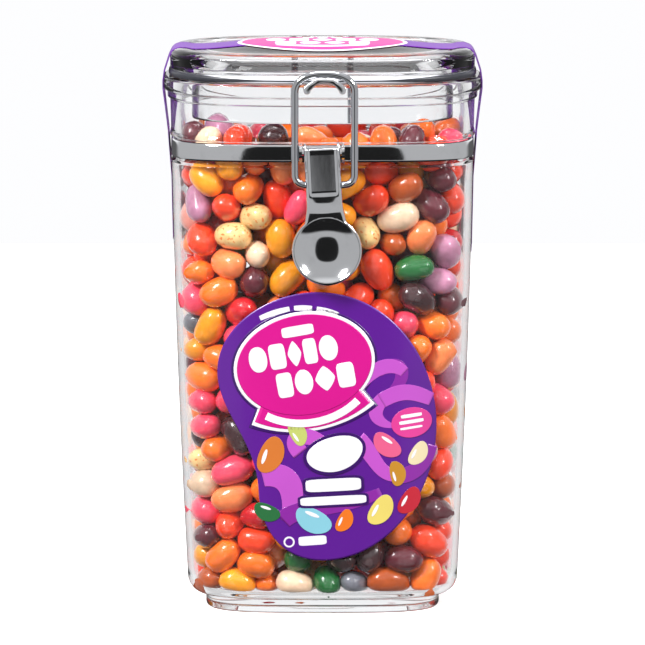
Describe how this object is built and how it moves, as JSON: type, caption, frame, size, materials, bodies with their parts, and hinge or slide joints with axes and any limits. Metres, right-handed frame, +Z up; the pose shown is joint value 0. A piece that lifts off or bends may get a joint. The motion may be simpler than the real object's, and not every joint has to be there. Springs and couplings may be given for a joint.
{
  "type": "clip-top jar of jelly beans",
  "caption": "Tall clear jar with a clamped lid, a chromed strap, wire bail and spoon-shaped lever, filled with mixed sugar-shelled jelly beans.",
  "frame": {"origin": "middle of the base, on the surface the jar stands on", "axes": "+Z up, the lever and label face -Y, +X to the right seen from the front"},
  "size_m": [0.1104, 0.0862, 0.1949],
  "materials": {
    "clear_plastic": "clear moulded styrene, polished",
    "gasket_rubber": "dark sealing ring",
    "chrome_sheet": "bright plated sheet steel",
    "chrome_wire": "bright plated wire",
    "label_film": "printed film, deep purple with a magenta oval",
    "seal_film": "printed seal film, light purple with a pink oval",
    "bean_shell": "glossy sugar shells in many colours"
  },
  "bodies": {
    "jar": {"tub": "clear_plastic", "lid": "clear_plastic", "gasket": "gasket_rubber", "strap": "chrome_sheet", "bracket": "chrome_sheet", "saddle": "chrome_sheet", "rear_barrel": "chrome_sheet", "rear_hoop": "chrome_wire", "rear_saddle": "chrome_sheet", "front_label": "label_film", "seal_strip": "seal_film", "beans": "bean_shell"},
    "lever": {"lever": "chrome_sheet"},
    "bail": {"bail": "chrome_wire"}
  },
  "joints": [
    {"name": "lever_hinge", "type": "hinge", "parent": "jar", "child": "lever", "pos_m": [-0.0002, -0.0407, 0.161], "axis": [-1, 0, 0], "range_deg": [0, 115]},
    {"name": "bail_hinge", "type": "hinge", "parent": "lever", "child": "bail", "pos_m": [0.00075, -0.0407, 0.1499], "axis": [-1, 0, 0], "range_deg": [-115, 0]}
  ],
  "couplings": [
    {"joint": "bail_hinge", "follows": "lever_hinge", "ratio": -1}
  ]
}
